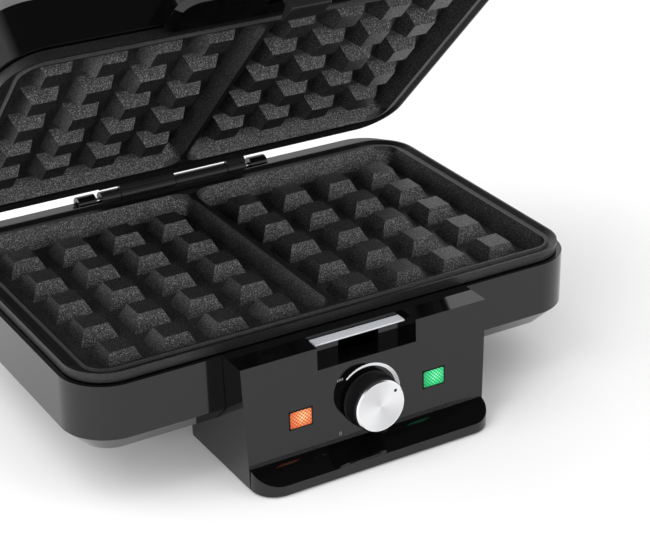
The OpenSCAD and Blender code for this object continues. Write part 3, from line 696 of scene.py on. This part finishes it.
@dataclass
class Knob:
    """The knob: a skirt, a ribbed grip, a spun cap in a polished rim and a sunken dot.

    Heights are over the panel's face; front and back are the grip's own. The groove's heights
    are over the back: where it starts, bottoms and ends, and where the grip's side starts. The
    ribs' ends are clear of the grip's back and front. The dish is (radius, depth) of the cap.
    """

    panel: Panel
    palette: Palette
    back: float = 0.6
    front: float = 8.8
    bore_r: float = 2.6
    skirt_r: float = 12.98
    skirt_t: float = 1.0
    skirt_edge: float = 0.2
    grip_r: float = 12.75
    groove: float = 0.35
    groove_z: tuple[float, ...] = (1.25, 1.5, 1.8, 2.2)
    crown: float = 0.03
    taper: float = 0.5
    shoulder: float = 0.9
    lip: float = 0.35
    draft: float = 0.05
    ribs: int = 80
    rib_depth: float = 0.3
    rib_ends: Span = (2.0, 0.6)
    cap_front: float = 10.2
    cap_r: float = 11.9
    cap_steps: int = 96
    rim_w: float = 0.75
    rim_flat: Span = (0.1, 0.22)
    rim_slope: float = 0.55
    rim_lap: float = 0.02
    face_sunk: float = 0.05
    face_gap: float = 0.1
    dish: tuple[Point, Point] = ((0, 0.16), (4, 0.13))
    dot: tuple[Point, ...] = ((0, -0.02), (0.45, 0.0), (0.68, 0.05), (0.72, 0.02), (0.72, -0.1))
    dot_steps: int = 24
    dot_turn: float = 38
    dot_reach: float = 9.2
    dot_sunk: float = 0.04

    def build(self) -> None:
        """Builds the knob's pieces."""
        self.grip()
        self.cap()
        self.rim()
        self.print_dot()

    def grip(self) -> None:
        """The skirt and the ribbed grip, turned as one."""
        back, front = self.back, self.front
        neck, tip = self.grip_r - self.groove, self.grip_r - self.taper
        starts, bottoms, ends, side = (back + height for height in self.groove_z)
        profile = [(self.bore_r, back), (self.skirt_r - self.skirt_edge, back),
                   (self.skirt_r, back + self.skirt_edge),
                   (self.skirt_r - self.draft, back + self.skirt_t),
                   (neck, starts), (neck + self.draft, bottoms), (self.grip_r, ends),
                   (self.grip_r - self.crown, side),
                   (tip + self.draft, front - self.shoulder), (tip, front - self.lip),
                   (tip - self.lip, front), (self.bore_r, front), (self.bore_r, back)]
        shape = spun(profile, self.ribs * 2)
        self.cut_ribs(shape)
        shape.transform(self.panel.matrix())
        piece = add_piece("knob_grip", shape, Body.KNOB, self.palette.matte_black,
                          sharp=50)
        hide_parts("control_knob")

    def cut_ribs(self, shape: Shape) -> None:
        """Draws every second line of the grip's side in, which leaves ribs.

        Args:
            shape: The turned grip, still about Z.
        """
        low = (self.back + self.rib_ends[0]) * MM
        high = (self.front - self.rib_ends[1]) * MM
        for vert in shape.verts:
            radius = math.hypot(vert.co.x, vert.co.y)
            if low < vert.co.z < high and radius > self.grip_r / 2 * MM:
                line = round(math.atan2(vert.co.y, vert.co.x) / math.pi * self.ribs)
                if line % 2:
                    vert.co.xy *= 1 - self.rib_depth * MM / radius

    def cap(self) -> None:
        """The cap's dished face, spun about its own centre."""
        centre = self.panel.matrix(0, 0, self.cap_front).translation
        face = SpunMetal("spun_aluminium", tuple(centre)).material()
        edge, floor = self.cap_r - self.rim_w, self.front + self.face_gap
        shape = spun([*((radius, self.cap_front - depth) for radius, depth in self.dish),
                      (edge, self.cap_front - self.face_sunk), (edge, floor), (0, floor)],
                     self.cap_steps)
        shape.transform(self.panel.matrix())
        piece = add_piece("knob_cap_face", shape, Body.KNOB, face)
        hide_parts("knob_cap")

    def rim(self) -> None:
        """The polished rim round the cap's face."""
        edge, top = self.cap_r - self.rim_w, self.cap_front
        start = (edge - self.rim_lap, top - self.face_sunk)
        shape = spun([start, *((edge + out, top) for out in self.rim_flat),
                      (self.cap_r, top - self.rim_slope), (self.cap_r, self.front),
                      (edge - self.rim_lap, self.front), start], self.cap_steps)
        shape.transform(self.panel.matrix())
        add_piece("knob_cap_rim", shape, Body.KNOB, self.palette.polished_rim)

    def print_dot(self) -> None:
        """The black dot that points at the setting."""
        shape = spun(list(self.dot), self.dot_steps)
        angle, reach = math.radians(self.dot_turn), self.dot_reach
        shape.transform(self.panel.matrix(reach * math.cos(angle), reach * math.sin(angle),
                                          self.cap_front - self.dot_sunk))
        add_piece("knob_dot", shape, Body.KNOB, self.palette.matte_black)


@dataclass
class Dial:
    """The print round the knob: a swelling arc, strokes where it starts, a nought below."""

    panel: Panel
    palette: Palette
    print_z: Span = (0.02, 0.09)
    arc_r: float = 15.95
    arc_from: float = 133
    arc_to: float = -52
    arc_steps: int = 72
    arc_w: Span = (0.62, 1.87)
    swell: float = 0.62
    strokes: int = 4
    stroke_w: float = 0.34
    stroke_h: float = 1.1
    stroke_gap: float = 0.8
    stroke_rise: float = 0.1
    strokes_at: Point = (-13.8, 12.3)
    nought_at: Point = (-14.3, -12.9)
    nought_inner: Point = (0.34, 0.66)
    nought_outer: Point = (0.56, 0.9)
    nought_steps: int = 28

    def build(self) -> None:
        """Builds the printed marks."""
        self.arc()
        self.word()
        self.nought()

    def arc(self) -> None:
        """The white arc, which thickens inwards over the first part of its way."""
        shape = bmesh.new()
        start, sweep = math.radians(self.arc_from), math.radians(self.arc_to - self.arc_from)
        low, high = (z * MM for z in self.print_z)
        thin, thick = self.arc_w
        inner, outer = (self.arc_r - thin) * MM, self.arc_r * MM
        verts = [shape.verts.new((radius * math.cos(start), radius * math.sin(start), z))
                 for radius, z in ((inner, low), (inner, high), (outer, high), (outer, low))]
        bmesh.ops.spin(shape, geom=[shape.faces.new(verts)], cent=(0, 0, 0), axis=(0, 0, 1),
                       angle=sweep, steps=self.arc_steps)
        for vert in shape.verts:
            radius = math.hypot(vert.co.x, vert.co.y)
            if radius < (inner + outer) / 2:
                turned = (math.atan2(vert.co.y, vert.co.x) - start) / sweep
                grown = (thick - thin) * min(1.0, max(0.0, turned) / self.swell)
                vert.co.xy *= 1 - grown * MM / radius
        bmesh.ops.recalc_face_normals(shape, faces=shape.faces)
        shape.transform(self.panel.matrix())
        piece = add_piece("dial_arc", shape, Body.BASE, self.palette.ink)
        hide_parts("dial_ring")

    def word(self) -> None:
        """Plain strokes in the place of the small word where the arc starts."""
        shape = bmesh.new()
        half_w, half_h = self.stroke_w / 2, self.stroke_h / 2
        for index in range(self.strokes):
            shift = (index - (self.strokes - 1) / 2) * self.stroke_gap
            x, y = self.strokes_at[0] + shift, self.strokes_at[1] + self.stroke_rise * shift
            raise_outline(shape, [(x - half_w, y - half_h), (x + half_w, y - half_h),
                                  (x + half_w, y + half_h), (x - half_w, y + half_h)],
                          *self.print_z)
        shape.transform(self.panel.matrix())
        add_piece("dial_strokes", shape, Body.BASE, self.palette.dim_ink)

    def nought(self) -> None:
        """The grey nought below the dial."""
        shape = bmesh.new()
        low, high = self.print_z
        bridge(shape, [loop(shape, ellipse(*size, self.nought_steps), z)
                       for size, z in ((self.nought_inner, high), (self.nought_outer, high),
                                       (self.nought_outer, low), (self.nought_inner, low))],
               closed=True)
        bmesh.ops.recalc_face_normals(shape, faces=shape.faces)
        shape.transform(self.panel.matrix(*self.nought_at))
        add_piece("panel_nought", shape, Body.BASE, self.palette.dim_ink)


@dataclass
class Lens:
    """One indicator lens: a rounded window cut into small diamond prisms, in a dark frame.

    Heights are over the panel's face. The hot spot is right of and above the window's middle.
    """

    lamp: Lamp
    panel: Panel
    black: Material
    x: float
    wide: float = 11.2
    tall: float = 8.4
    corner: float = 0.9
    corner_steps: int = 4
    frame_w: float = 0.4
    frame_deep: float = 1.0
    frame_ridge: float = 0.06
    frame_slope: float = 0.08
    frame_sunk: float = 0.04
    proud: float = 0.3
    deep: float = 2.0
    edge: float = 0.15
    cell: float = 0.8
    cells: int = 20
    prism: float = 0.2
    prism_share: float = 0.9
    margin: float = 0.22
    lift: float = 0.01
    hot_spot: Point = (0.8, 0.8)

    def outline(self, inset: float) -> list[Point]:
        """The window's rounded outline, moved in.

        Args:
            inset: How far in.

        Returns:
            Its points, turning from X towards Y.
        """
        half_w, half_h, radius = self.wide / 2 - inset, self.tall / 2 - inset, self.corner
        points = []
        for turn, (side, way) in enumerate(((1, 1), (-1, 1), (-1, -1), (1, -1))):
            for step in range(self.corner_steps + 1):
                angle = math.radians(90 * (turn + step / self.corner_steps))
                points.append((side * (half_w - radius) + radius * math.cos(angle),
                               way * (half_h - radius) + radius * math.sin(angle)))
        return points

    def surround(self) -> None:
        """The thin dark frame round the window."""
        shape = bmesh.new()
        top = self.proud - self.frame_sunk
        side = top - self.frame_slope
        section = ((self.frame_w, side), (self.frame_ridge, top), (0.0, side),
                   (0.0, -self.frame_deep), (self.frame_w, -self.frame_deep))
        bridge(shape, [loop(shape, self.outline(inset), z) for inset, z in section],
               closed=True)
        bmesh.ops.recalc_face_normals(shape, faces=shape.faces)
        shape.transform(self.panel.matrix(self.x, 0, 0))
        add_piece(self.lamp.node + "_frame", shape, Body.BASE, self.black)

    def build(self) -> None:
        """Builds the lens's frame, its body and its prisms."""
        right, up = self.hot_spot
        centre = self.panel.matrix(self.x + right, up, 0).translation
        glow = LitLens(self.lamp, tuple(centre)).material()
        self.surround()
        shape, base = bmesh.new(), self.proud - self.prism
        raise_outline(shape, self.outline(self.frame_w), -self.deep, base)
        top = max(shape.faces, key=lambda face: face.calc_center_median().z)
        bmesh.ops.bevel(shape, geom=list(top.edges), offset=self.edge * MM, segments=2,
                        profile=0.5, affect="EDGES", material=-1)
        self.cut_prisms(shape, base + self.lift)
        shape.transform(self.panel.matrix(self.x, 0, 0))
        piece = add_piece(self.lamp.node + "_prisms", shape, Body.BASE, glow,
                          sharp=12)
        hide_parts(self.lamp.node)

    def cut_prisms(self, shape: Shape, base: float) -> None:
        """Lays a sheet of small pyramids on the lens and trims it to the window.

        Args:
            shape: The lens's body, still flat in the panel's frame.
            base: The height that the pyramids stand on.
        """
        grid = bmesh.ops.create_grid(shape, x_segments=self.cells, y_segments=self.cells,
                                     size=self.cells * self.cell / 2 * MM)["verts"]
        bmesh.ops.rotate(shape, verts=grid, cent=(0, 0, 0),
                         matrix=Matrix.Rotation(math.radians(45), 3, "Z"))
        bmesh.ops.translate(shape, verts=grid, vec=(0, 0, base * MM))
        faces = list({face for vert in grid for face in vert.link_faces})
        poked = bmesh.ops.poke(shape, faces=faces, offset=self.prism * self.prism_share * MM)
        geom = set(grid) | set(poked["verts"])
        geom |= {part for vert in list(geom) for part in (*vert.link_faces, *vert.link_edges)}
        for side, way in ((1, 0), (-1, 0), (0, 1), (0, -1)):
            reach = (self.wide if side else self.tall) / 2 - self.frame_w - self.margin
            live = [part for part in geom if part.is_valid]
            cut = bmesh.ops.bisect_plane(shape, geom=live, dist=1e-6 * MM,
                                         plane_co=(side * reach * MM, way * reach * MM, 0),
                                         plane_no=(side, way, 0), clear_outer=True)
            geom = {part for part in geom if part.is_valid} | set(cut["geom"])


# ---- shells and screws ----


@dataclass
class Shells:
    """The moulded and cast shells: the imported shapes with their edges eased.

    Each node has its rounding's width and its body. A plate's rim coating reaches a step down
    from its rim and a band in from its outline, and the lid's plate is measured as if closed.
    """

    palette: Palette
    widths: dict[str, tuple[float, Body]] = field(default_factory=lambda: {
        "base_housing": (0.6, Body.BASE),
        "control_box": (0.45, Body.BASE),
        "rear_legs": (0.5, Body.BASE),
        "cord_bush": (0.35, Body.BASE),
        "latch_keeper": (0.22, Body.BASE),
        "lower_plate": (0.45, Body.BASE),
        "upper_plate": (0.45, Body.LID),
        "lid_housing": (0.6, Body.LID),
        "lid_handle": (1.2, Body.LID),
        "hinge_base_leaf": (0.3, Body.BASE),
        "hinge_lid_leaf": (0.3, Body.LID),
        "hinge_end_blocks": (0.4, Body.BASE),
        "latch_lever": (0.5, Body.LATCH),
        "base_cover": (0.15, Body.BASE),
        "pedestal_cover": (0.3, Body.BASE),
    })
    lid_open: float = 46.0
    plate_corner: float = 19.1
    rim_step: float = 1.65
    wall_band: float = 2.0

    def build(self) -> None:
        """Builds every shell."""
        for node, (width, body) in self.widths.items():
            piece = softened(node, width, body, self.palette.of_slot(record_slot(node)))
            if node.endswith("_plate"):
                self.coat_rim(piece, body)

    def as_closed(self, body: Body) -> Matrix:
        """The lid's turn about its hinge as it closes, or no move for another body."""
        if body is not Body.LID:
            return Matrix()
        pivot = Matrix.Translation(Vector(joint_named("lid_hinge")["pos_m"]))
        return pivot @ Matrix.Rotation(math.radians(self.lid_open), 4, "X") @ pivot.inverted()

    def coat_rim(self, piece: bpy.types.Object, body: Body) -> None:
        """Gives a plate's rim, groove and outer wall the finer, darker coating.

        Args:
            piece: The plate's shell.
            body: The body it rides on.
        """
        closed = self.as_closed(body)
        places = [closed @ vert.co for vert in piece.data.vertices]
        low = Vector([min(place[axis] for place in places) for axis in range(3)])
        high = Vector([max(place[axis] for place in places) for axis in range(3)])
        rim_z = low.z if body is Body.LID else high.z
        middle, corner = (low + high) / 2, self.plate_corner * MM
        piece.data.materials.append(self.palette.rim_coat)
        for face in piece.data.polygons:
            place = closed @ face.center
            past_x = abs(place.x) - high.x + corner
            past_y = abs(place.y - middle.y) - (high.y - low.y) / 2 + corner
            inward = corner - min(max(past_x, past_y), 0) - math.hypot(
                max(past_x, 0), max(past_y, 0))
            if abs(place.z - rim_z) < self.rim_step * MM or inward < self.wall_band * MM:
                face.material_index = 1


@dataclass
class PanHeads:
    """Four pan-head screws with cross recesses, heads down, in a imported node's places.

    The crown is the head's profile from its face to its side, as (radius, share of its height).
    """

    node: str
    body: Body
    material: Material
    head_r: float = 2.98
    head_t: float = 1.8
    raise_by: float = 0.0
    crown: tuple[Point, ...] = ((1.9, 0.0), (2.5, 0.12), (2.98, 0.42))
    shank_r: float = 1.5
    tip_r: float = 0.9
    tip: float = 0.6
    steps: int = 24
    arm: float = 1.45
    slot_half: float = 0.28
    deep: float = 0.5
    floor_share: float = 0.7

    def build(self) -> None:
        """Builds the four screws as one piece."""
        low, high = (Vector(corner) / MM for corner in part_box(self.node))
        low.z += self.raise_by
        shape = bmesh.new()
        for x in (low.x + self.head_r, high.x - self.head_r):
            for y in (low.y + self.head_r, high.y - self.head_r):
                self.screw(shape, Vector((x, y, low.z)), high.z - low.z)
        bmesh.ops.recalc_face_normals(shape, faces=shape.faces)
        piece = add_piece(self.node + "_cross", shape, self.body, self.material)
        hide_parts(self.node)

    def cross(self) -> list[Point]:
        """The outline of the recess, from its right arm towards Y."""
        quarter = [(self.arm, -self.slot_half), (self.arm, self.slot_half),
                   (self.slot_half, self.slot_half)]
        points = []
        for _ in range(4):
            points += quarter
            quarter = [(-y, x) for x, y in quarter]
        return points

    def screw(self, shape: Shape, foot: Vector, length: float) -> None:
        """Adds one screw, head down.

        Args:
            shape: The shape it is added to, in metres.
            foot: The middle of its head's face, in millimetres.
            length: Its length, head included.
        """
        profile = [*((radius, share * self.head_t) for radius, share in self.crown),
                   (self.head_r, self.head_t), (self.shank_r, self.head_t),
                   (self.shank_r, length - self.tip), (self.tip_r, length)]
        outlines = [(ellipse(radius, radius, self.steps), z) for radius, z in profile]
        recess = [([(x * share, y * share) for x, y in self.cross()], z)
                  for share, z in ((1.0, 0.0), (self.floor_share, self.deep))]
        rings = [[shape.verts.new((foot + Vector((x, y, z))) * MM) for x, y in outline]
                 for outline, z in outlines + recess]
        *turned, mouth, floor = rings
        # Bridging would twist the flat step under the head, so the rings are joined in turn.
        for one, two in (*zip(turned, turned[1:]), (mouth, floor)):
            for here in range(len(one)):
                after = (here + 1) % len(one)
                shape.faces.new((one[here], one[after], two[after], two[here]))
        for end in (turned[-1], floor):
            shape.faces.new(end)
        pairs = [pair for rim in (turned[0], mouth) for pair in zip(rim, rim[1:] + rim[:1])]
        bmesh.ops.bridge_loops(shape, edges=[shape.edges.get(pair) for pair in pairs])


# ---- the studio ----


@dataclass(frozen=True)
class SoftLamp:
    """A square studio lamp that polished surfaces don't mirror. Lengths are in metres."""

    name: str
    place: Triple
    size: float
    power: float
    target: Triple = (0, 0, 0.08)

    def build(self) -> None:
        """Hangs the lamp and turns it to the appliance."""
        data = bpy.data.lights.new(self.name, "AREA")
        data.size = self.size
        data.energy = self.power
        lamp = in_scene(self.name, data)
        lamp.location = self.place
        towards = Vector(self.target) - Vector(self.place)
        lamp.rotation_euler = towards.to_track_quat("-Z", "Y").to_euler()
        lamp.visible_glossy = False


@dataclass
class Studio:
    """White floor with a painted shadow, soft lamps, a bright horizon under a dark ceiling, and the camera.

    The floor's sizes and the clip end are in metres, the angles in degrees and the camera's
    place in millimetres. The horizon is the span of height that darkens to the ceiling.
    """

    floor_size: float = 9.0
    # The floor greys from open white towards a point near the appliance: a painted shadow.
    floor_tone: Span = (0.82, 0.97)
    floor_dip: Triple = (0.12, -0.16, 0.0)
    dip_reach: Span = (0.08, 0.4)
    floor_bounce: float = 0.2
    floor_roughness: float = 0.6
    horizon: Span = (0.5, 0.75)
    ceiling: float = 0.04
    lamps: tuple[SoftLamp, ...] = (
        SoftLamp("key", (-0.8, 0.0, 1.3), 0.9, 6.0),
        SoftLamp("fill", (0.9, -0.9, 1.3), 1.2, 2.5),
        SoftLamp("low", (-1.3, -0.9, 0.4), 0.7, 17.0),
    )
    camera_at: Triple = (-381.9, -706.4, 442.5)
    azimuth: float = 31.85
    elevation: float = 25.41
    lens: float = 108.3
    sensor: float = 36
    shift: Point = (-0.0646, -0.0485)
    clip_end: float = 60

    def build(self) -> None:
        """Builds the floor, the world, the lamps and the camera."""
        self.floor()
        self.world()
        for lamp in self.lamps:
            lamp.build()
        self.camera()
        bpy.context.scene.view_settings.view_transform = "Standard"

    def floor(self) -> None:
        """The floor, with a painted shadow that greys it near the appliance, and dim where it lights it."""
        mesh = bpy.data.meshes.new("floor")
        half = self.floor_size / 2
        mesh.from_pydata([(-half, -half, 0), (half, -half, 0), (half, half, 0), (-half, half, 0)],
                         [], [(0, 1, 2, 3)])
        obj = in_scene("floor", mesh)
        sheet = Sheet("floor_white")
        # Painted shadow: the floor greys as it nears the shadow's centre.
        away = sheet.length(sheet.place(self.floor_dip))
        floor_with_painted_shadow = sheet.blend(away, self.dip_reach, self.floor_tone)
        lit = sheet.node("LightPath").outputs["Is Diffuse Ray"]
        sheet.drive("Base Color", sheet.mix(lit, floor_with_painted_shadow, self.floor_bounce))
        sheet.set(Roughness=self.floor_roughness)
        mesh.materials.append(sheet.material)

    def world(self) -> None:
        """White to the camera and to matt surfaces; polished ones see a dark ceiling."""
        world = bpy.data.worlds.new("studio")
        bpy.context.scene.world = world
        world.use_nodes = True
        sky = Nodes(world.node_tree)
        height = sky.split(sky.node("TexCoord").outputs["Generated"])[2]
        mirrored = sky.blend(height, self.horizon, (1.0, self.ceiling))
        glossy = sky.node("LightPath").outputs["Is Glossy Ray"]
        ground = sky.tree.nodes["Background"]
        sky.feed(ground.inputs["Color"], (1, 1, 1, 1))
        sky.feed(ground.inputs["Strength"], sky.mix(glossy, 1.0, mirrored))

    def camera(self) -> None:
        """The camera of the main view."""
        data = bpy.data.cameras.new("main")
        data.lens = self.lens
        data.sensor_width = self.sensor
        data.shift_x, data.shift_y = self.shift
        data.clip_end = self.clip_end
        camera = in_scene("main", data)
        camera.location = Vector(self.camera_at) * MM
        camera.rotation_euler = (math.radians(90 - self.elevation), 0,
                                 -math.radians(self.azimuth))
        bpy.context.scene.camera = camera


def main() -> None:
    """Builds the appliance's pieces in order."""
    logging.basicConfig(level=logging.INFO, format="%(name)s %(message)s")
    palette = Palette()
    for node, obj in frame["nodes"].items():
        obj.data.materials.clear()
        obj.data.materials.append(palette.of_slot(record_slot(node)))
    panel = Panel.from_joint("knob_turn")
    Shells(palette).build()
    Knob(panel, palette).build()
    Dial(panel, palette).build()
    PanHeads("cover_screws", Body.BASE, palette.plain_steel).build()
    PanHeads("pedestal_screws", Body.BASE, palette.plain_steel, head_t=0.7, raise_by=1.08).build()
    for lamp, side in ((Lamp.POWER, -1), (Lamp.READY, 1)):
        Lens(lamp, panel, palette.matte_black, side * LENS_X).build()
    Studio().build()


if __name__ == "__main__":
    main()
